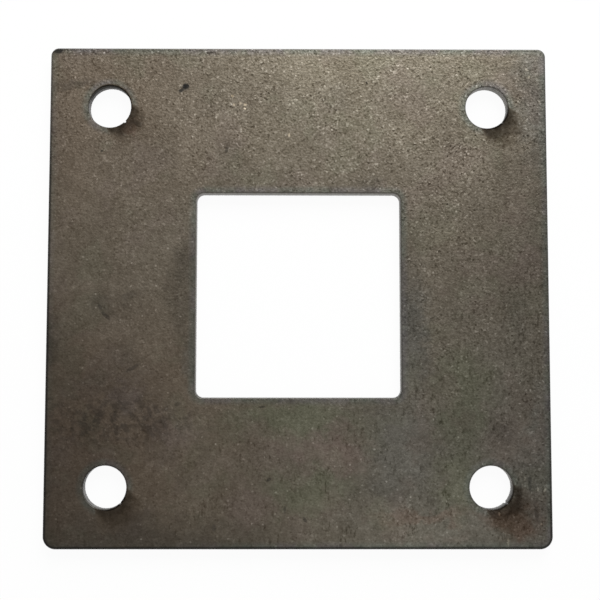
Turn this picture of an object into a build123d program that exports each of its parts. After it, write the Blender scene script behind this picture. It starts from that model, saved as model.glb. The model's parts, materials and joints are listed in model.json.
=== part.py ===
"""Square cover plate, laser-cut as one piece from hot-rolled steel sheet. Millimetres.

The plate lies on its underside. +Z is up, +Y points to the far edge, and the origin is
the centre of the underside.
"""

import os

from build123d import *

# Sheet
plate_side = 100.0
thickness = 3.0

# Rounding of the outline's corners: the far pair is sharper than the near pair
far_corner_radius = 1.6
near_corner_radius = 2.5

# Window that a square tube passes through, with a gap on each side of the tube
tube_side = 40.0
tube_gap = 0.4
window_corner_radius = 1.5

# Bolt holes, one in each corner: M8 clearance
hole_diameter = 8.5
hole_inset = 12.0  # from the plate's edge to a hole's centre, along X and along Y

# Cut edges as they are dressed, on both faces: outline and window filed round, and a
# turn of the deburring tool in each hole
rounded_edge_radius = 0.3
hole_chamfer = 0.2

# Nick that the beam's lead-in leaves in each hole's wall, on the same side of every hole
nick_radius = 0.25
nick_direction = -45.0  # degrees from +X, seen from above

window_side = tube_side + 2 * tube_gap
hole_spacing = plate_side - 2 * hole_inset
hole_radius = hole_diameter / 2

with BuildPart() as cover_plate:
    # Blank with its window
    with BuildSketch() as blank:
        Rectangle(plate_side, plate_side)
        corners_near_to_far = blank.vertices().group_by(Axis.Y)
        fillet(corners_near_to_far[0], near_corner_radius)
        fillet(corners_near_to_far[-1], far_corner_radius)
        RectangleRounded(window_side, window_side, window_corner_radius, mode=Mode.SUBTRACT)
    extrude(amount=thickness)

    # Rounded edges of the outline and the window, on the underside and on the top face
    faces_by_height = cover_plate.faces().filter_by(Axis.Z).sort_by(Axis.Z)
    fillet(faces_by_height[0].edges() + faces_by_height[-1].edges(), rounded_edge_radius)

    # Bolt holes, chamfered at both ends
    with BuildSketch():
        with GridLocations(hole_spacing, hole_spacing, 2, 2):
            Circle(hole_radius)
    extrude(amount=thickness, mode=Mode.SUBTRACT)
    chamfer(cover_plate.edges(Select.LAST).filter_by(GeomType.CIRCLE), hole_chamfer)

    # Lead-in nicks
    with BuildSketch():
        with GridLocations(hole_spacing, hole_spacing, 2, 2):
            with PolarLocations(hole_radius, 1, start_angle=nick_direction):
                Circle(nick_radius)
    extrude(amount=thickness, mode=Mode.SUBTRACT)

cover_plate.part.label = "cover_plate"

os.makedirs("parts", exist_ok=True)
export_step(cover_plate.part, "parts/cover_plate.step")
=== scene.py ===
"""Square cover plate, laser-cut from hot-rolled steel, dressed for its studio view.

The plate is made again with the solid's outline, window, holes, dressed arrises and nicks, and
with the beam's striations down every cut wall, which the solid leaves out. One finish carries
the mill scale, the heat bands, the burn marks and the cut face, with painted sheen, shade and
glints on the scale and painted light and shade on the walls.
"""

import json

import bmesh
import bpy
import numpy as np
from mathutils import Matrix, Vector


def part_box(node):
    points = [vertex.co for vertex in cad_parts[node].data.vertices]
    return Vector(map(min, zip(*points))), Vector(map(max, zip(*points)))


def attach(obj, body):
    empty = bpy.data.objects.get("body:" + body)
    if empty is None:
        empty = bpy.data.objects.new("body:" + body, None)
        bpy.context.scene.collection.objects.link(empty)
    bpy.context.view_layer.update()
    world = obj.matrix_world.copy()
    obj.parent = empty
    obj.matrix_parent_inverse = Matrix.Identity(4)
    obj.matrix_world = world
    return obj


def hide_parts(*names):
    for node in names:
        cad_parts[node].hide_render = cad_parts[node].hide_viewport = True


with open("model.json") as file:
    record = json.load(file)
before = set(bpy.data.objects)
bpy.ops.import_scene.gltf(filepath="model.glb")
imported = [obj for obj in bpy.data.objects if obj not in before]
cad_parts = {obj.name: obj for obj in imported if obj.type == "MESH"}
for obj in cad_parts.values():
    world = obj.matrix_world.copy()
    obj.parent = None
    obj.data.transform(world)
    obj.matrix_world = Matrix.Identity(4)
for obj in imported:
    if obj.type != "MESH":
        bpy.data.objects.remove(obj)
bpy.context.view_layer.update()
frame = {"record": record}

MM = 0.001  # one millimetre in the scene's metres

# Sizes that the frame gives, in millimetres
low, high = (np.array(corner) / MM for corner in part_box("cover_plate"))
HALF_SIDE = (high[0] - low[0]) / 2
THICKNESS = high[2] - low[2]
HOLES = next(m for m in frame["record"]["mounts"] if m["name"] == "corner_holes")["dims"]
HOLE_PLACE = HOLES["spacing_x_mm"] / 2
HOLE_RADIUS = HOLES["hole_r_mm"]

# Sizes that the frame doesn't give, in millimetres and degrees
HALF_WINDOW = 20.4
WINDOW_CORNER = 1.5
FAR_CORNER = 1.6
NEAR_CORNER = 2.5
ROUNDED_EDGE = 0.3
HOLE_CHAMFER = 0.2
NICK_RADIUS = 0.25
NICK_DIRECTION = -45.0

# Flat faces: squares that the grids meet on, and the cells between them
HALF_HOLE_SQUARE = 9.0
HOLE_SQUARE_CELLS = 6
MIDDLE_CELLS = 20
FINE_PER_COARSE = {"outline": 24, "window": 16, "hole": 10}


# ---------------------------------------------------------------- cut paths

def side_of_square(half, first_corner, last_corner, columns):
    """The side at +X of a rounded square, from the middle of its first corner to that of the last.

    The way along it is an eighth of a turn on the first corner's circle, a straight run, and an
    eighth of a turn on the last corner's circle, all at equal steps. With turn the angle away from
    +X, a point lies at x = half - radius (1 - cos turn), and its y is the straight run's y plus
    radius sin turn. Gives the points and the directions out of the square.
    """
    first_arc, last_arc = np.pi / 4 * first_corner, np.pi / 4 * last_corner
    straight = 2 * half - first_corner - last_corner
    way = (first_arc + straight + last_arc) * np.arange(columns) / columns
    turn = np.minimum(way / first_corner - np.pi / 4, 0)
    turn += np.maximum(way - first_arc - straight, 0) / last_corner
    radius = np.where(turn < 0, first_corner, last_corner)
    along = np.clip(way - first_arc, 0, straight) + first_corner - half
    points = np.stack([half - radius * (1 - np.cos(turn)), along + radius * np.sin(turn)], 1)
    return points, np.stack([np.cos(turn), np.sin(turn)], 1)


def rounded_square(half, corners, columns):
    """A rounded square run anticlockwise from its near right corner: four sides, each a quarter
    turn on from the last. corners holds the radii: near right, far right, far left, near left."""
    quarter = np.array([[0.0, 1.0], [-1.0, 0.0]])
    sides = []
    for k in range(4):
        side = side_of_square(half, corners[k], corners[(k + 1) % 4], columns)
        sides.append(np.stack(side) @ np.linalg.matrix_power(quarter, k))
    points, outward = np.concatenate(sides, 1)
    return points, outward


def run_back(loop):
    """A closed loop run the other way from the same first point."""
    return np.roll(loop[::-1], 1, axis=0)


def outline_path(columns):
    """The plate's outline, anticlockwise, so that the metal is on the left."""
    corners = (NEAR_CORNER, FAR_CORNER, FAR_CORNER, NEAR_CORNER)
    return rounded_square(HALF_SIDE, corners, columns)


def window_path(columns):
    """The window's outline, clockwise, so that the metal is on the left. Out of the metal is
    into the window."""
    points, outward = rounded_square(HALF_WINDOW, (WINDOW_CORNER,) * 4, columns)
    return run_back(points), -run_back(outward)


def hole_path(centre, columns):
    """A hole's wall, clockwise from its nick, so that the metal is on the left.

    The distance from the centre is the hole's radius, or where the nick's small circle reaches
    further, radius cos(angle) + sqrt(nick^2 - radius^2 sin^2(angle)), with the angle measured
    from the nick. The columns crowd towards the nick: angle = turn - crowding sin(turn).
    """
    crowding = 0.55
    turn = -2 * np.pi * np.arange(columns) / columns
    angle = turn - crowding * np.sin(turn)
    across = HOLE_RADIUS * np.sin(angle)
    in_nick = (np.abs(across) < NICK_RADIUS) & (np.cos(angle) > 0)
    reach = HOLE_RADIUS * np.cos(angle) + np.sqrt(np.maximum(NICK_RADIUS**2 - across**2, 0))
    distance = np.where(in_nick, np.maximum(reach, HOLE_RADIUS), HOLE_RADIUS)
    bearing = angle + np.radians(NICK_DIRECTION)
    outward = -np.stack([np.cos(bearing), np.sin(bearing)], 1)
    return centre - distance[:, None] * outward, outward


def square_loop(centre, stops):
    """A square run clockwise from its near right corner through the stops on its sides, which
    are offsets from its centre in rising order. Each side is the last one a quarter turn on."""
    near = np.stack([stops[:0:-1], np.full(len(stops) - 1, stops[0])], 1)
    quarter = np.array([[0.0, -1.0], [1.0, 0.0]])
    return centre + np.concatenate([near @ np.linalg.matrix_power(quarter, k) for k in range(4)])


# ---------------------------------------------------------------- plate mesh

class Sheet:
    """Gathers grids of points and the faces between them, as whole arrays."""

    def __init__(self):
        self.points, self.cut, self.faces, self.smooth = [], [], [], []
        self.count = 0

    def add_points(self, points, cut=0.0):
        """Adds an array of points of any shape, and gives their numbers in the same shape. cut is
        0 on the rolled faces and 1 on a cut wall."""
        shape = points.shape[:-1]
        self.points.append(points.reshape(-1, 3))
        self.cut.append(np.broadcast_to(cut, shape).ravel())
        numbers = self.count + np.arange(np.prod(shape)).reshape(shape)
        self.count += numbers.size
        return numbers

    def add_faces(self, corners, smooth, flip):
        self.faces += (corners[:, ::-1] if flip else corners).tolist()
        self.smooth += [smooth] * len(corners)

    def add_grid(self, numbers, smooth=False, flip=False):
        """Adds a four-cornered face between neighbouring rows and columns."""
        corners = [numbers[:-1, :-1], numbers[1:, :-1], numbers[1:, 1:], numbers[:-1, 1:]]
        self.add_faces(np.stack(corners, -1).reshape(-1, 4), smooth, flip)

    def add_fan(self, fine, coarse, flip=False):
        """Joins a fine closed loop to a coarse one. Each coarse step and the fine steps beside
        it are one face."""
        steps = len(fine) // len(coarse)
        first = np.arange(len(coarse))[:, None] * steps
        beside = fine[(first + np.arange(steps, -1, -1)) % len(fine)]
        self.add_faces(np.hstack([np.stack([coarse, np.roll(coarse, -1)], 1), beside]), False, flip)

    def to_mesh(self, name):
        """Welds the seams between the grids and gives the mesh in metres."""
        mesh = bpy.data.meshes.new(name)
        mesh.from_pydata(np.concatenate(self.points) * MM, [], self.faces)
        mesh.polygons.foreach_set("use_smooth", self.smooth)
        cut = mesh.attributes.new("cut", "FLOAT", "POINT")
        cut.data.foreach_set("value", np.concatenate(self.cut).astype(np.float32))
        welded = bmesh.new()
        welded.from_mesh(mesh)
        bmesh.ops.remove_doubles(welded, verts=welded.verts, dist=MM / 1000)
        welded.to_mesh(mesh)
        welded.free()
        return mesh


def at_height(plan, z):
    """Points of the plan raised to height z, which may be one height for each row."""
    heights = np.broadcast_to(z, plan.shape[:-1])
    return np.concatenate([plan, heights[..., None]], -1)


def closed(grid):
    """Repeats a closed grid's first column at its end."""
    return np.concatenate([grid, grid[:, :1]], 1)


def striations(way, depth, seed):
    """How deep the beam's grooves lie in a cut wall, in millimetres.

    way runs along the cut and depth is 0 at the beam's entry and 1 at its exit. Three ripples of
    different pitch run down the wall and wander slowly along it. They trail behind by the square
    of the depth, and grow with it. Their sum is squared into narrow ridges between broad grooves.
    """
    shallowest, growth, wander_length = 0.010, 0.025, 9.0
    rng = np.random.default_rng(seed)
    length = way[-1] + way[1] - way[0]
    trail = 0.5 * depth**2
    ripples = 0
    for pitch, share in ((0.42, 0.5), (0.63, 0.3), (1.7, 0.2)):
        waves, wanders = np.round(length / pitch), np.round(length / wander_length)
        start, drift = rng.uniform(0, 2 * np.pi, 2)
        wander = 1.2 * np.sin(2 * np.pi * wanders * way / length + drift)
        ripples = ripples + share * np.sin(2 * np.pi * waves * (way + trail) / length + start + wander)
    return (shallowest + growth * depth) * ((1 - ripples) / 2) ** 2 * 2


def edge_profile(dressing, chamfered):
    """Cross-section of a cut edge from the top face to the underside: its inset into the metal
    and its height, row by row. Each arris is a quarter circle of the dressing's size, or a
    straight chamfer, and the wall between them is upright."""
    arris_rows, wall_rows = (3 if chamfered else 4), 8
    turn = np.linspace(0, 1, arris_rows)
    if chamfered:
        inset, drop = dressing * (1 - turn), dressing * turn
    else:
        inset = dressing * (1 - np.sin(np.pi / 2 * turn))
        drop = dressing * (1 - np.cos(np.pi / 2 * turn))
    wall = np.linspace(dressing, THICKNESS - dressing, wall_rows + 2)[1:-1]
    insets = np.concatenate([inset, np.zeros(len(wall)), inset[::-1]])
    drops = np.concatenate([drop, wall, THICKNESS - drop[::-1]])
    return insets, THICKNESS - drops


def add_cut_edge(sheet, path, dressing, seed, chamfered=False):
    """Carries the edge's profile along a closed path, with the metal on its left.

    A point is the path's point, less the inset and the groove's depth along the direction out of
    the metal. The grooves fade out over the arrises. Gives the point numbers where the edge
    meets the top face and the underside.
    """
    points, outward = path
    insets, heights = edge_profile(dressing, chamfered)
    steps = np.linalg.norm(np.roll(points, -1, 0) - points, axis=1)
    way = np.cumsum(steps) - steps[0]
    on_wall = 1 - insets[:, None] / dressing
    depth = 1 - heights[:, None] / THICKNESS
    inset = insets[:, None] + on_wall * striations(way, depth, seed)
    plan = points - inset[..., None] * outward
    numbers = sheet.add_points(at_height(plan, heights[:, None]), cut=on_wall)
    sheet.add_grid(closed(numbers), smooth=True)
    return numbers[0], numbers[-1]


def add_flat_face(sheet, z, outline, window, holes):
    """Fills one flat face between the loops of its cut edges.

    A border joins the outline to a square ring, a collar joins each hole to a square round it, a
    frame joins the window to a square ring, and four panels lie between the hole squares.
    """
    top = z > 0
    inner = HOLE_PLACE - HALF_HOLE_SQUARE
    hole_stops = np.linspace(-HALF_HOLE_SQUARE, HALF_HOLE_SQUARE, HOLE_SQUARE_CELLS + 1)
    panel_stops = np.linspace(-inner, inner, MIDDLE_CELLS + 1)
    band_stops = hole_stops + HOLE_PLACE
    ring_stops = np.concatenate([-band_stops[::-1], panel_stops[1:-1], band_stops])

    ring = sheet.add_points(at_height(run_back(square_loop(0, ring_stops)), z))
    sheet.add_fan(outline, ring, flip=top)
    frame_loop = sheet.add_points(at_height(square_loop(0, panel_stops), z))
    sheet.add_fan(window, frame_loop, flip=top)
    for centre, hole in holes:
        square = square_loop(centre, hole_stops)
        collar = (square + 2 * (centre + HOLE_RADIUS * unit(square - centre))) / 3
        loops = sheet.add_points(at_height(np.stack([collar, square]), z))
        sheet.add_fan(hole, loops[0], flip=top)
        sheet.add_grid(closed(loops), flip=top)
    for k in range(4):
        quarter = np.linalg.matrix_power(np.array([[0.0, 1.0], [-1.0, 0.0]]), k)
        panel = np.stack(np.meshgrid(panel_stops, band_stops), -1) @ quarter
        sheet.add_grid(sheet.add_points(at_height(panel, z)), flip=top)


def unit(vectors):
    """Vectors scaled to length 1."""
    return vectors / np.linalg.norm(vectors, axis=-1, keepdims=True)


def make_plate():
    """The plate's closed mesh: one cut edge for each cut path, and the two flat faces."""
    sheet = Sheet()
    middle = MIDDLE_CELLS + 2 * HOLE_SQUARE_CELLS
    outline = add_cut_edge(sheet, outline_path(middle * FINE_PER_COARSE["outline"]), ROUNDED_EDGE, 1)
    window = add_cut_edge(sheet, window_path(MIDDLE_CELLS * FINE_PER_COARSE["window"]), ROUNDED_EDGE, 2)
    holes = []
    for seed, (x, y) in enumerate(((1, 1), (-1, 1), (-1, -1), (1, -1)), 3):
        centre = HOLE_PLACE * np.array([x, y])
        path = hole_path(centre, 4 * HOLE_SQUARE_CELLS * FINE_PER_COARSE["hole"])
        holes.append((centre, add_cut_edge(sheet, path, HOLE_CHAMFER, seed, chamfered=True)))
    for side, z in ((0, THICKNESS), (1, 0.0)):
        rims = [(centre, loops[side]) for centre, loops in holes]
        add_flat_face(sheet, z, outline[side], window[side], rims)
    plate = bpy.data.objects.new("cut_plate", sheet.to_mesh("cut_plate"))
    bpy.context.scene.collection.objects.link(plate)
    return plate


# ---------------------------------------------------------------- finish

def paint(code):
    """A colour written as a web code, as the linear values that a shader takes."""
    share = np.array([int(code[k:k + 2], 16) for k in (1, 3, 5)]) / 255
    linear = np.where(share <= 0.04045, share / 12.92, ((share + 0.055) / 1.055) ** 2.4)
    return (*linear, 1.0)


class Finish:
    """A material's nodes. Each method adds one step and gives the socket with its result."""

    def __init__(self, name):
        self.material = bpy.data.materials.new(name)
        self.material.use_nodes = True
        self.tree = self.material.node_tree
        self.tree.nodes.clear()

    def add(self, kind, inputs, **settings):
        node = self.tree.nodes.new("ShaderNode" + kind)
        for name, value in settings.items():
            setattr(node, name, value)
        for key, value in inputs.items():
            if isinstance(value, bpy.types.NodeSocket):
                self.tree.links.new(value, node.inputs[key])
            else:
                node.inputs[key].default_value = value
        return node

    def maths(self, operation, *values):
        inputs = dict(enumerate(values))
        return self.add("Math", inputs, operation=operation).outputs[0]

    def vector(self, operation, *values, output=0):
        inputs = dict(enumerate(values))
        return self.add("VectorMath", inputs, operation=operation).outputs[output]

    def scale(self, vector, factor):
        vector = vector[:3] if isinstance(vector, tuple) else vector
        return self.add("VectorMath", {0: vector, 3: factor}, operation="SCALE").outputs[0]

    def fade(self, value, start, end, low=0.0, high=1.0):
        """Goes smoothly from low at start to high at end, and stays there beyond them."""
        inputs = {"Value": value, 1: start, 2: end, 3: low, 4: high}
        return self.add("MapRange", inputs, interpolation_type="SMOOTHSTEP").outputs[0]

    def noise(self, place, size, detail=2.0, roughness=0.5, output=0):
        """Cloudy pattern, 0 to 1 about a middle of 0.5, with clouds about size millimetres wide."""
        inputs = {"Vector": place, "Scale": 1 / size, "Detail": detail, "Roughness": roughness}
        return self.add("TexNoise", inputs, normalize=True).outputs[output]

    def swing(self, value, amount):
        """A factor about 1: a pattern's distance from its middle of 0.5, times amount, plus 1."""
        return self.maths("MULTIPLY_ADD", self.maths("SUBTRACT", value, 0.5), amount, 1.0)

    def stray(self, place, plan, size, detail, reach, roughness=0.5):
        """The plan with its points moved by a cloudy pattern, up to half the reach in X and Y."""
        pattern = self.noise(place, size, detail, roughness, output=1)
        offset = self.vector("SUBTRACT", pattern, (0.5, 0.5, 0.5))
        return self.vector("MULTIPLY_ADD", offset, (reach, reach, 0), plan)

    def patch(self, plan, centre, half_size, turn=0.0, core=0.0):
        """1 in an ellipse's core, falling smoothly to 0 at its rim. Turn is in degrees."""
        if turn:
            pivot = {"Vector": plan, "Center": (*centre, 0.0), "Angle": -np.radians(turn)}
            plan = self.add("VectorRotate", pivot, rotation_type="Z_AXIS").outputs[0]
        scale = 1 / np.array(half_size)
        inside = self.vector("MULTIPLY_ADD", plan, (*scale, 0.0), (*-scale * centre, 0.0))
        return self.fade(self.vector("LENGTH", inside, output=1), 1.0, core)

    def specks(self, plan, spacing, radius, share):
        """Round dots, one in each cell of about the spacing, kept in the given share of cells."""
        inputs = {"Vector": plan, "Scale": 1 / spacing}
        cells = self.add("TexVoronoi", inputs, voronoi_dimensions="2D").outputs
        kept = self.maths("LESS_THAN", self.add("SeparateColor", {0: cells["Color"]}).outputs[0], share)
        dot = self.fade(cells["Distance"], radius / spacing, 0.3 * radius / spacing)
        return self.maths("MULTIPLY", kept, dot)

    def mix(self, share, first, second):
        return self.add("Mix", {0: share, 6: first, 7: second}, data_type="RGBA").outputs[2]

    def gamma(self, colour, power):
        return self.add("Gamma", {0: colour, 1: power}).outputs[0]

    def choose(self, share, first, second):
        return self.add("Mix", {0: share, 2: first, 3: second}, data_type="FLOAT").outputs[0]

    def product(self, *values):
        result = values[0]
        for value in values[1:]:
            result = self.maths("MULTIPLY", result, value)
        return result

    def change(self, value, share, amount):
        """The value times 1 plus amount where the share is 1, and unchanged where it is 0."""
        return self.product(value, self.maths("MULTIPLY_ADD", share, amount, 1.0))

    def rest(self, share):
        return self.maths("SUBTRACT", 1.0, share)


def square_distance(f, x, y, half, radius):
    """Distance outside a rounded square: with qx, qy how far |x| and |y| pass the corner circles'
    centres, it is the length of their positive parts, plus the larger one where it is negative,
    less the corner's radius."""
    qx = f.maths("SUBTRACT", f.maths("ABSOLUTE", x), f.maths("SUBTRACT", half, radius))
    qy = f.maths("SUBTRACT", f.maths("ABSOLUTE", y), f.maths("SUBTRACT", half, radius))
    positive = f.add("CombineXYZ", {0: f.maths("MAXIMUM", qx, 0.0), 1: f.maths("MAXIMUM", qy, 0.0)})
    inside = f.maths("MINIMUM", f.maths("MAXIMUM", qx, qy), 0.0)
    length = f.vector("LENGTH", positive.outputs[0], output=1)
    return f.maths("SUBTRACT", f.maths("ADD", length, inside), radius)


# Web values are about linear values to the power 1 / GAMMA, and the mill scale's own tints have
# a linear value of about MEAN_SHADE
GAMMA = 2.2
MEAN_SHADE = 0.115

SAND_SIZE = 0.36  # width of a grain of the scale's sandy speckle, in millimetres
BUMP_HEIGHT = 0.045  # of the scale's grain, in millimetres

# Hues laid over the mill scale: centre, half size, turn in degrees, colour and strength
OLIVE, MAUVE, SLATE, RUST = "#61614f", "#695d54", "#625f57", "#70574a"
HUES = (
    ((-2.0, -24.2), (19.0, 5.0), 2, OLIVE, 0.8),
    ((6.0, -31.0), (14.0, 5.5), -3, MAUVE, 0.9),
    ((1.5, -38.5), (13.0, 6.0), 0, OLIVE, 0.7),
    ((-9.5, -42.0), (7.0, 6.5), 0, MAUVE, 0.7),
    ((20.0, -31.0), (9.0, 13.0), 0, SLATE, 0.8),
    ((32.5, -21.0), (8.5, 15.0), 0, OLIVE, 0.7),
    ((32.0, -37.0), (7.0, 9.0), 0, OLIVE, 0.6),
    ((42.5, -29.0), (9.0, 10.0), 0, MAUVE, 0.5),
    ((46.0, -40.0), (7.0, 14.0), 0, SLATE, 0.7),
    ((24.0, -43.8), (13.0, 2.2), 0, RUST, 0.3),
    ((-34.0, -20.0), (6.0, 5.0), 0, MAUVE, 0.8),
    ((-24.0, -27.0), (6.0, 4.0), 0, MAUVE, 0.7),
    ((-20.5, -14.0), (3.5, 9.0), 0, SLATE, 0.5),
    ((22.5, -8.0), (4.5, 15.0), 0, SLATE, 0.8),
    ((-34.0, 34.0), (2.5, 2.0), 0, RUST, 0.4),
    ((42.5, -44.5), (8.0, 5.0), -20, "#5f4b3d", 0.7),
    ((44.0, 10.0), (6.0, 14.0), 0, MAUVE, 0.5),
    ((50.0, 40.0), (8.0, 18.0), 0, SLATE, 0.8),
    ((50.0, -27.0), (6.0, 14.0), 0, SLATE, 0.8),
)

# Stains on the mill scale: centre, half size, turn in degrees, and how much lighter or darker
STAINS = (
    ((-45.0, 43.0), (7.5, 2.2), 3, -0.4),
    ((-14.0, 30.0), (3.5, 3.0), 0, -0.2),
    ((14.0, 22.5), (5.0, 2.2), 0, -0.3),
    ((-22.5, 6.0), (5.0, 4.5), 20, -0.25),
    ((-23.0, -3.0), (4.5, 15.0), 0, -0.25),
    ((-39.0, -2.5), (4.5, 3.0), -20, -0.25),
    ((-33.5, -0.5), (2.5, 2.0), 0, -0.25),
    ((-34.0, -12.5), (4.0, 4.0), 0, -0.2),
    ((-50.5, -9.0), (4.5, 9.0), 0, -0.35),
    ((22.5, -2.0), (5.0, 22.0), 0, -0.28),
    ((43.5, -4.0), (4.0, 8.0), 0, -0.2),
    ((40.5, -27.0), (5.0, 4.5), 0, -0.25),
    ((46.0, -41.0), (9.0, 18.0), 0, -0.2),
    ((15.0, -38.5), (11.0, 3.5), -4, -0.22),
    ((-26.0, -48.5), (38.0, 6.5), 0, -0.38),
    ((-24.0, 48.0), (30.0, 9.0), 0, -0.14),
    ((-14.0, 40.0), (24.0, 9.0), 0, -0.17),
    ((24.0, 42.0), (18.0, 11.0), 0, -0.15),
    ((-34.0, 30.0), (15.0, 11.0), 0, -0.15),
    ((50.0, 37.0), (9.0, 18.0), 0, -0.25),
    ((-36.0, -20.0), (15.0, 13.0), 0, -0.2),
    ((36.0, -26.0), (17.0, 13.0), 0, -0.16),
    ((-48.0, -10.0), (8.0, 14.0), 0, -0.15),
    ((7.5, 40.5), (5.0, 5.0), 0, -0.2),
    ((-21.0, 11.0), (4.0, 7.0), 0, -0.2),
    ((-49.0, 30.0), (5.0, 30.0), 0, -0.12),
    ((49.0, 22.0), (5.0, 14.0), 0, -0.12),
    ((-35.0, -4.0), (10.0, 12.0), 0, -0.12),
    ((-27.0, -30.0), (6.0, 5.0), 0, -0.18),
    ((-43.0, -44.0), (6.0, 4.0), 0, -0.15),
    ((50.0, -30.0), (5.0, 10.0), 0, -0.14),
    ((-41.0, -22.0), (5.0, 4.0), 0, 0.2),
    ((7.0, -31.0), (6.0, 5.0), 0, 0.12),
    ((30.0, 11.5), (6.0, 5.0), 0, 0.14),
    ((-1.0, -29.0), (9.0, 5.0), 0, 0.1),
    ((25.0, -46.5), (15.0, 4.5), 0, 0.2),
    ((-33.0, -45.0), (7.0, 6.0), 0, -0.25),
    ((44.0, 43.5), (8.0, 7.0), 0, -0.26),
)

# Small marks: centre, half size, turn in degrees, how much lighter or darker; light ones are painted
# glints, bar one scratch
MARKS = (
    ((-22.8, 42.1), (1.15, 0.95), 30, -0.95),
    ((-23.7, 41.3), (0.7, 0.5), 25, -0.8),
    ((-48.4, 49.5), (1.5, 0.9), 20, -0.85),
    ((-39.5, 29.0), (0.3, 0.3), 0, -0.8),
    ((-14.4, 29.2), (0.4, 1.1), -15, -0.4),
    # Painted glints, from here to the far right corner
    ((-13.3, 40.2), (0.4, 0.35), 0, 1.6),
    ((-12.9, 38.4), (0.35, 0.35), 0, 1.3),
    ((-11.7, 38.7), (0.35, 0.3), 0, 1.2),
    ((-10.7, 38.4), (0.45, 0.3), 0, 1.8),
    ((-10.8, 37.6), (0.45, 0.25), 0, 1.8),
    ((-1.9, 32.3), (0.3, 0.5), 0, 1.4),
    ((46.2, 45.7), (0.5, 0.3), -20, 1.4),
    ((46.6, 44.2), (0.35, 0.3), 0, 1.2),
    ((48.6, 39.1), (0.3, 0.4), 0, 1.2),
    ((13.8, 43.0), (0.2, 0.35), 0, -0.8),
    ((-38.2, -4.2), (1.7, 0.5), -45, -0.45),
    ((-39.4, -2.4), (0.9, 0.5), -60, -0.4),
    ((-32.8, -14.6), (2.2, 0.5), 28, -0.4),
    ((-29.3, -23.2), (0.6, 1.7), 20, -0.35),
    ((-23.8, -21.6), (0.9, 0.7), 0, -0.35),
    ((-7.1, -22.2), (0.9, 0.25), 0, -0.55),
    ((-5.8, -36.5), (0.7, 0.4), 30, -0.5),
    ((1.3, -44.2), (0.4, 0.8), 30, -0.5),
    ((-2.6, -42.3), (0.4, 1.0), 0, -0.4),
    ((-16.5, -45.8), (0.6, 1.0), 0, -0.35),
    ((-32.2, 34.4), (1.2, 0.8), -20, -0.4),
    ((43.4, -39.4), (0.9, 2.8), -8, -0.55),
    ((42.4, -42.0), (2.6, 1.7), 25, -0.45),
    # A painted glint
    ((39.5, -43.1), (0.3, 0.45), 0, 2.2),
    ((45.6, -37.3), (0.5, 2.2), 0, -0.45),
    ((46.8, -42.8), (0.6, 2.6), 8, -0.4),
    # Painted glints by the near right corner
    ((44.6, -36.2), (0.3, 0.5), 0, 0.8),
    ((47.1, -38.3), (0.3, 0.4), 0, 1.0),
    ((48.5, -38.5), (0.3, 0.6), -20, 1.2),
    ((47.7, -45.1), (0.35, 0.3), 0, 1.2),
    # A light scratch by the near edge
    ((41.2, -48.5), (0.3, 1.2), 0, 1.0),
)


def scale_tint(f, place, warped, bent):
    """Hues of the mill scale, all about as light as each other: sandy over the far side, grey
    across the middle, brown at the left and blue-grey at the near right, with smaller patches."""
    tint = f.mix(f.patch(warped, (10, 54), (64, 36)), paint("#655d50"), paint("#665f51"))
    tint = f.mix(f.patch(warped, (-50, 36), (52, 40)), tint, paint("#685c4e"))
    tint = f.mix(f.patch(warped, (-52, -26), (56, 44)), tint, paint("#6b5c4d"))
    tint = f.mix(f.patch(warped, (34, -40), (50, 50)), tint, paint("#625e54"))
    for centre, half_size, turn, colour, strength in HUES:
        share = f.product(f.patch(bent, centre, half_size, turn, 0.3), strength)
        tint = f.mix(share, tint, paint(colour))
    olive = f.fade(f.noise(f.vector("ADD", place, (70, 0, 0)), 9.0, 4.0), 0.52, 0.62)
    tint = f.mix(f.product(olive, 0.22), tint, paint(OLIVE))
    mauve = f.fade(f.noise(f.vector("ADD", place, (0, 90, 0)), 9.0, 4.0), 0.53, 0.63)
    return f.mix(f.product(mauve, 0.3), tint, paint(MAUVE))


def scale_tone(f, place, warped, bent, rough):
    """How light the mill scale is: broad patches, which are painted sheen and shade, then stains,
    then marks, whose light ones are painted glints but for one scratch.
    """
    # Painted sheen far, painted shade near left, painted light near middle; darker along the right
    tone = f.maths("MULTIPLY_ADD", f.patch(warped, (8, 54), (74, 46)), 0.37, 0.96)
    tone = f.change(tone, f.patch(warped, (-60, -36), (44, 60)), -0.58)
    tone = f.change(tone, f.patch(warped, (20, -54), (46, 36)), 0.34)
    tone = f.change(tone, f.patch(warped, (56, 4), (34, 46)), -0.34)
    blotches = f.fade(f.noise(place, 1.6, 3.0, 0.6), 0.42, 0.62)
    mottled = f.product(f.patch(bent, (-36, -25), (27, 8)), blotches)
    tone = f.change(tone, mottled, -0.5)
    for centre, half_size, turn, amount in STAINS:
        tone = f.change(tone, f.patch(bent, centre, half_size, turn), amount)
    for centre, half_size, turn, amount in MARKS:
        tone = f.change(tone, f.patch(rough, centre, half_size, turn, 0.4), amount)
    return tone


def burn_mark(f, plan, wobble, centre, bearing, spread, reach):
    """Soot beside a hole: 1 at the rim, fading to 0 over the reach.

    The reach is longest at the bearing, and shrinks to nothing at the spread on either side of
    it. Both are in degrees, and the angle between them is compared by its cosine.
    """
    from_centre = f.vector("SUBTRACT", plan, (*centre, 0.0))
    bearing = np.radians(bearing)
    toward = (np.cos(bearing), np.sin(bearing), 0.0)
    cosine = f.vector("DOT_PRODUCT", f.vector("NORMALIZE", from_centre), toward, output=1)
    length = f.product(f.fade(cosine, np.cos(np.radians(spread)), 1.0), f.swing(wobble, 0.7), reach)
    from_rim = f.maths("SUBTRACT", f.vector("LENGTH", from_centre, output=1), HOLE_RADIUS)
    return f.fade(f.maths("DIVIDE", from_rim, f.maths("MAXIMUM", length, 0.01)), 1.0, 0.1)


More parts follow.
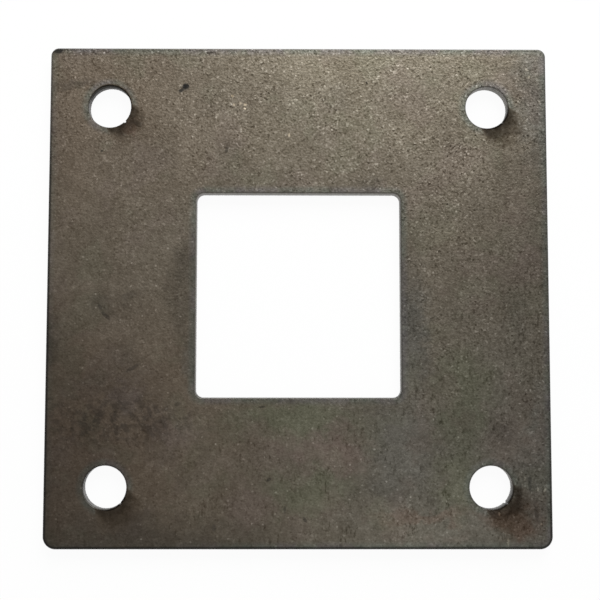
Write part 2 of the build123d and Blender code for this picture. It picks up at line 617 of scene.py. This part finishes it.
def burn_marks_and_rim_shade(f, plan, wobble):
    """Each hole's burnt marking: a wide sooty smudge beside its nick, and a narrow black rim, which in
    the far left hole runs round its top as painted shade. Each of them is given as its bearing,
    spread and reach."""
    marks = 0.0
    for side_x, side_y, strength, raggedness, smudge, rim in (
        # In the far left hole the narrow rim runs round the top: painted shade on the rim
        (-1, 1, 0.8, 0.5, (-45, 58, 5.8), (60, 110, 0.6)),
        (1, 1, 0.8, 0.6, (-52, 58, 6.4), (-48, 62, 1.5)),
        (-1, -1, 0.72, 0.6, (-58, 62, 6.6), (-55, 60, 1.2)),
        (1, -1, 0.66, 1.3, (-47, 60, 8.2), (-45, 62, 1.0)),
    ):
        centre = (side_x * HOLE_PLACE, side_y * HOLE_PLACE)
        wide = burn_mark(f, plan, wobble, centre, *smudge)
        wide = f.product(wide, f.swing(wobble, raggedness), strength)
        narrow = burn_mark(f, plan, wobble, centre, *rim)
        marks = f.maths("MAXIMUM", marks, f.maths("MAXIMUM", wide, narrow))
    return marks


def distances_from_cuts(f, x, y, plan):
    """How far a point of the metal lies from the outline, the window and the nearest hole."""
    far_side = f.maths("GREATER_THAN", y, 0.0)
    corner = f.maths("MULTIPLY_ADD", far_side, FAR_CORNER - NEAR_CORNER, NEAR_CORNER)
    from_outline = f.maths("MULTIPLY", square_distance(f, x, y, HALF_SIDE, corner), -1.0)
    from_window = square_distance(f, x, y, HALF_WINDOW, WINDOW_CORNER)
    one_quarter = f.vector("ABSOLUTE", plan)
    from_centre = f.vector("DISTANCE", one_quarter, (HOLE_PLACE, HOLE_PLACE, 0), output=1)
    return from_outline, from_window, f.maths("SUBTRACT", from_centre, HOLE_RADIUS)


def heat_band(f, place, bent, x, from_cut, wobble, soot_and_rim_shade):
    """How far the cut's heat has greyed the scale, and the grey. The band is weaker along the left
    side and the left of the near side, and there is none under the burn marks and the painted rim
    shade."""
    heat = f.product(f.fade(from_cut, 1.9, 0.4), f.swing(wobble, 1.5), 0.6, f.rest(soot_and_rim_shade))
    heat = f.change(heat, f.patch(bent, (-34, -50), (26, 8)), -0.8)
    heat = f.product(heat, f.fade(x, -45.0, -49.0, 1.0, 0.5))
    grey = f.mix(f.fade(f.noise(place, 7.0), 0.48, 0.56), paint("#5b5f57"), paint("#605d5c"))
    return heat, grey


def grain_and_glint_strength(f, place, bent, x, y):
    """How strong the sandy grain is: strongest over the far right and weakest at the near left,
    following the lamp's sheen, so partly painted glinting.
    """
    coarse = f.fade(f.maths("MULTIPLY_ADD", x, 0.6, y), -25.0, 50.0, 0.42, 1.05)
    coarse = f.change(coarse, f.patch(bent, (44, 12), (16, 24)), -0.3)
    coarse = f.change(coarse, f.patch(bent, (34, -46), (30, 18)), 0.4)
    coarse = f.change(coarse, f.patch(bent, (46, -40), (11, 16)), 0.6)
    return f.product(coarse, f.swing(f.noise(f.vector("ADD", place, (40, 0, 0)), 5.0, 3.0), 1.6))


def scale_texture(f, place, rough, bent, grain, x, y):
    """The scale's fine texture, as a factor about 1: clouds, sandy grain, partly painted glinting,
    dark flecks drawn out along the rolling direction, and painted glints."""
    broad_clouds = f.swing(f.noise(place, 15.0, 3.0, 0.6), 0.45)
    small_clouds = f.swing(f.noise(place, 4.0, 4.0, 0.6), 0.55)
    texture = f.product(broad_clouds, small_clouds)
    texture = f.product(texture, f.swing(f.noise(place, 1.1, 2.0, 0.6), 0.45))

    # Grain strength partly painted as glinting where the lamp's sheen falls
    coarse = grain_and_glint_strength(f, place, bent, x, y)
    texture = f.change(texture, f.maths("SUBTRACT", grain, 0.5), f.product(coarse, 1.3))
    cells = f.add("TexVoronoi", {"Vector": place, "Scale": 1 / SAND_SIZE}).outputs["Color"]
    sand = f.add("SeparateColor", {0: cells}).outputs[0]
    # The lightest grains are painted glints
    painted_glint_grains = f.product(f.fade(sand, 0.93, 1.0), 0.6)
    dark_grains = f.product(f.fade(sand, 0.12, 0.0), 0.35)
    pepper = f.maths("SUBTRACT", painted_glint_grains, dark_grains)
    sand = f.maths("MULTIPLY_ADD", f.maths("SUBTRACT", sand, 0.5), 0.5, pepper)
    texture = f.change(texture, sand, coarse)

    strokes = f.noise(f.vector("MULTIPLY", place, (1, 0.4, 1)), 0.55, 2.0, 0.6)
    crowds = f.fade(f.noise(place, 5.0, 4.0, 0.6), 0.38, 0.6)
    flecks = f.product(f.fade(strokes, 0.5, 0.75), crowds)
    flecks = f.product(flecks, f.fade(f.maths("SUBTRACT", x, y), -30.0, 60.0, 0.3, 1.2))
    texture = f.change(texture, flecks, -0.5)

    # Painted glints, crowded in two clusters
    glint_clusters = f.maths("MAXIMUM", f.patch(bent, (-11, 39), (7, 5)), f.patch(bent, (46, 42), (6, 10)))
    glint_share = f.maths("MULTIPLY_ADD", glint_clusters, 0.6, 0.2)
    painted_glints = f.specks(f.vector("ADD", rough, (31, 17, 0)), 2.4, 0.26, glint_share)
    return f.change(texture, painted_glints, 0.9)


def arris_shade_line(f, x, y, from_outline, from_opening):
    """A dark line along the arrises: on the outline's rounded arrises it is painted shade, strongest on
    the left and near sides, which face away from the lamp; along the openings it is darker towards
    the near side."""
    outline_side = f.fade(f.maths("MULTIPLY_ADD", x, 0.7, y), 25.0, -20.0, 0.3, 1.0)
    outline_line = f.product(f.fade(from_outline, 0.75, 0.25), outline_side)
    opening_side = f.fade(y, 20.0, -20.0, 0.28, 0.72)
    opening_line = f.product(f.fade(from_opening, 0.5, 0.0), opening_side)
    return f.maths("MAXIMUM", outline_line, opening_line)


def cut_face(f, place, x, facing, from_outline):
    """A cut wall's colour, and the mask of the matt far walls inside the window and the holes. The
    inner walls carry painted light and shade: the far walls of the left holes are painted dark, the
    other far walls are painted light, and the other inner walls are painted lighter to the left."""
    streaks = f.noise(f.vector("MULTIPLY", place, (1, 1, 0.12)), 0.5, 2.0)
    outer = f.maths("LESS_THAN", from_outline, 2.0)
    far_walls = f.product(f.fade(facing, 0.4, -0.4), f.rest(outer))
    # Painted light and shade on the inner walls, by their side of the plate and the way they face
    other_wall_light_and_shade = f.fade(x, -30.0, 30.0, 1.15, 0.75)
    far_wall_light_and_shade = f.fade(x, -30.0, -24.0, 0.4, 1.45)
    inner_wall_light_and_shade = f.choose(far_walls, other_wall_light_and_shade, far_wall_light_and_shade)
    tone = f.product(f.choose(outer, inner_wall_light_and_shade, 0.95), f.swing(streaks, 1.3))
    colour = f.mix(far_walls, paint("#55534f"), paint("#5b5750"))
    return f.scale(colour, tone), far_walls


def hot_rolled_finish():
    """Mill scale with heat bands, burn marks and cut faces, in millimetres of the plate's frame,
    with painted sheen, shade and glints on the scale and painted light and shade on the walls.
    """
    f = Finish("hot_rolled_scale")
    coordinates = f.add("TexCoord", {}).outputs
    place = f.scale(coordinates["Object"], 1 / MM)
    split = f.add("SeparateXYZ", {0: place}).outputs
    x, y, z = split[0], split[1], split[2]
    plan = f.add("CombineXYZ", {0: x, 1: y}).outputs[0]
    warped = f.stray(place, plan, 9.0, 3.0, 22)
    rough = f.stray(place, plan, 0.7, 1.0, 0.45)
    bent = f.stray(place, plan, 3.5, 4.0, 9, 0.6)

    from_outline, from_window, from_hole = distances_from_cuts(f, x, y, plan)
    from_opening = f.maths("MINIMUM", from_window, from_hole)
    from_cut = f.maths("MINIMUM", from_outline, from_opening)

    # Sooty marks and the painted rim shade lie on the top side only
    wobble = f.noise(place, 1.4, 3.0)
    soot_and_rim_shade = f.product(burn_marks_and_rim_shade(f, plan, wobble), f.maths("GREATER_THAN", z, THICKNESS / 2))
    heat, grey = heat_band(f, place, bent, x, from_cut, wobble, soot_and_rim_shade)
    tint = f.mix(heat, scale_tint(f, place, warped, bent), grey)
    tone = scale_tone(f, place, warped, bent, rough)
    grain = f.noise(place, 0.42, 1.0, 0.5)
    texture = scale_texture(f, place, rough, bent, grain, x, y)

    # The texture moves all three web values by one amount, so a dark grain is as brown as a light one
    level = f.maths("POWER", f.product(tone, MEAN_SHADE), 1 / GAMMA)
    step = f.maths("SUBTRACT", f.maths("POWER", f.maths("MAXIMUM", texture, 0.05), 1 / GAMMA), 1.0)
    colour = f.vector("ADD", f.gamma(f.scale(tint, tone), 1 / GAMMA), f.product(level, step))
    # Painted shade along the arrises darkens the colour
    line = arris_shade_line(f, x, y, from_outline, from_opening)
    colour = f.scale(f.gamma(colour, GAMMA), f.maths("MULTIPLY_ADD", line, -0.9, 1.0))
    colour = f.mix(soot_and_rim_shade, colour, f.mix(soot_and_rim_shade, paint("#433728"), paint("#0c0806")))

    cut = f.add("Attribute", {}, attribute_name="cut").outputs["Fac"]
    facing = f.add("SeparateXYZ", {0: coordinates["Normal"]}).outputs[1]
    wall_colour, far_walls = cut_face(f, place, x, facing, from_outline)
    colour = f.mix(cut, colour, wall_colour)

    # Far walls, sooty marks and the painted rim shade are matt
    roughness = f.maths("MULTIPLY_ADD", f.noise(place, 1.1, 4.0), 0.3, 0.29)
    roughness = f.choose(cut, f.maths("MULTIPLY_ADD", soot_and_rim_shade, 0.2, roughness), 0.4)
    bright = f.rest(f.product(cut, far_walls, f.fade(x, -30.0, -24.0, 0.6, 0.4)))
    glaze = f.product(f.maths("MULTIPLY_ADD", soot_and_rim_shade, -0.5, 0.5), bright)
    bump = f.add("Bump", {"Strength": 1.0, "Distance": BUMP_HEIGHT * MM, "Height": grain})
    shader = f.add("BsdfPrincipled", {
        "Base Color": colour,
        "Metallic": f.product(bright, 0.6),
        "Roughness": roughness,
        "Specular IOR Level": glaze,
        "Normal": bump.outputs[0],
    })
    f.tree.links.new(shader.outputs[0], f.add("OutputMaterial", {}).inputs[0])
    return f.material


# ---------------------------------------------------------------- studio

STAGE_HALF_WIDTH = 1.5  # of the floor and the backdrop, in metres
FLOOR_HEIGHT = -0.1 * MM


def white_to_the_eye(name, lit, share):
    """A stage material: seen by itself or in a reflection it is the share of plain white and the
    rest of the lit shader, and to every other ray it is the lit shader."""
    f = Finish(name)
    path = f.add("LightPath", {}).outputs
    in_reflection = f.maths("MAXIMUM", path["Is Glossy Ray"], path["Is Transmission Ray"])
    seen = f.product(f.maths("MAXIMUM", path["Is Camera Ray"], in_reflection), share)
    white = f.add("Emission", {"Color": (1, 1, 1, 1), "Strength": 1.0}).outputs[0]
    return f, f.add("MixShader", {0: seen, 1: f.add(*lit).outputs[0], 2: white}).outputs[0]


def add_stage(name, points, faces, material):
    mesh = bpy.data.meshes.new(name)
    mesh.from_pydata(points, [], faces)
    mesh.materials.append(material)
    stage = bpy.data.objects.new(name, mesh)
    bpy.context.scene.collection.objects.link(stage)


def make_floor():
    """A wide pale floor, a hair under the plate. From below it is clear."""
    half, z = STAGE_HALF_WIDTH, FLOOR_HEIGHT
    f, surface = white_to_the_eye("pale_floor", ("BsdfDiffuse", {"Color": (0.9, 0.9, 0.9, 1)}), 0.95)
    below = f.add("NewGeometry", {}).outputs["Backfacing"]
    clear = f.add("BsdfTransparent", {}).outputs[0]
    surface = f.add("MixShader", {0: below, 1: surface, 2: clear}).outputs[0]
    f.tree.links.new(surface, f.add("OutputMaterial", {}).inputs[0])
    corners = [(-half, -half, z), (half, -half, z), (half, half, z), (-half, half, z)]
    add_stage("floor", corners, [(0, 1, 2, 3)], f.material)


def make_backdrop():
    """A round white wall behind the floor: a circle of the floor's half width, raised straight up.
    It takes and gives no light."""
    height, columns = 1.0, 64
    f, surface = white_to_the_eye("pale_backdrop", ("BsdfTransparent", {}), 1.0)
    f.tree.links.new(surface, f.add("OutputMaterial", {}).inputs[0])
    turn = 2 * np.pi * np.arange(columns) / columns
    circle = STAGE_HALF_WIDTH * np.stack([np.cos(turn), np.sin(turn)], 1)
    points = np.concatenate([at_height(circle, FLOOR_HEIGHT), at_height(circle, height)])
    first = np.arange(columns)
    after = np.roll(first, -1)
    faces = np.stack([first, first + columns, after + columns, after], 1)
    add_stage("backdrop", points, faces.tolist(), f.material)


def make_world():
    """Even surroundings: they light the plate softly, and seen by themselves they are plain white."""
    light = 0.42
    world = bpy.data.worlds.new("studio")
    bpy.context.scene.world = world
    world.use_nodes = True
    nodes, links = world.node_tree.nodes, world.node_tree.links
    background = nodes["Background"]
    background.inputs["Color"].default_value = (1, 1, 1, 1)
    strength = nodes.new("ShaderNodeMath")
    strength.operation = "MULTIPLY_ADD"
    strength.inputs[1].default_value = 1 - light
    strength.inputs[2].default_value = light
    links.new(nodes.new("ShaderNodeLightPath").outputs["Is Camera Ray"], strength.inputs[0])
    links.new(strength.outputs[0], background.inputs["Strength"])


def add_softbox(name, place, size, power):
    """A square area lamp at place, in metres, aimed at the plate's centre."""
    lamp = bpy.data.lights.new(name, "AREA")
    lamp.shape, lamp.size, lamp.energy = "SQUARE", size, power
    holder = bpy.data.objects.new(name, lamp)
    holder.location = place
    holder.rotation_euler = (-holder.location).to_track_quat("-Z", "Y").to_euler()
    bpy.context.scene.collection.objects.link(holder)


def make_camera():
    """The camera looks down on the plate from a little in front of its centre."""
    data = bpy.data.cameras.new("camera")
    data.lens, data.sensor_width = 67.5, 36.0
    camera = bpy.data.objects.new("camera", data)
    camera.location = (-0.00121, -0.01842, 0.22612)
    camera.rotation_euler = np.radians([4.454, -0.400, 0.047])
    bpy.context.scene.collection.objects.link(camera)
    bpy.context.scene.camera = camera


plate = make_plate()
plate.data.materials.append(hot_rolled_finish())
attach(plate, "root")
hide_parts("cover_plate")

make_floor()
make_backdrop()
make_world()
add_softbox("far_softbox", (0.10, 0.42, 0.38), 0.40, 3.6)
make_camera()
bpy.context.scene.view_settings.view_transform = "Standard"
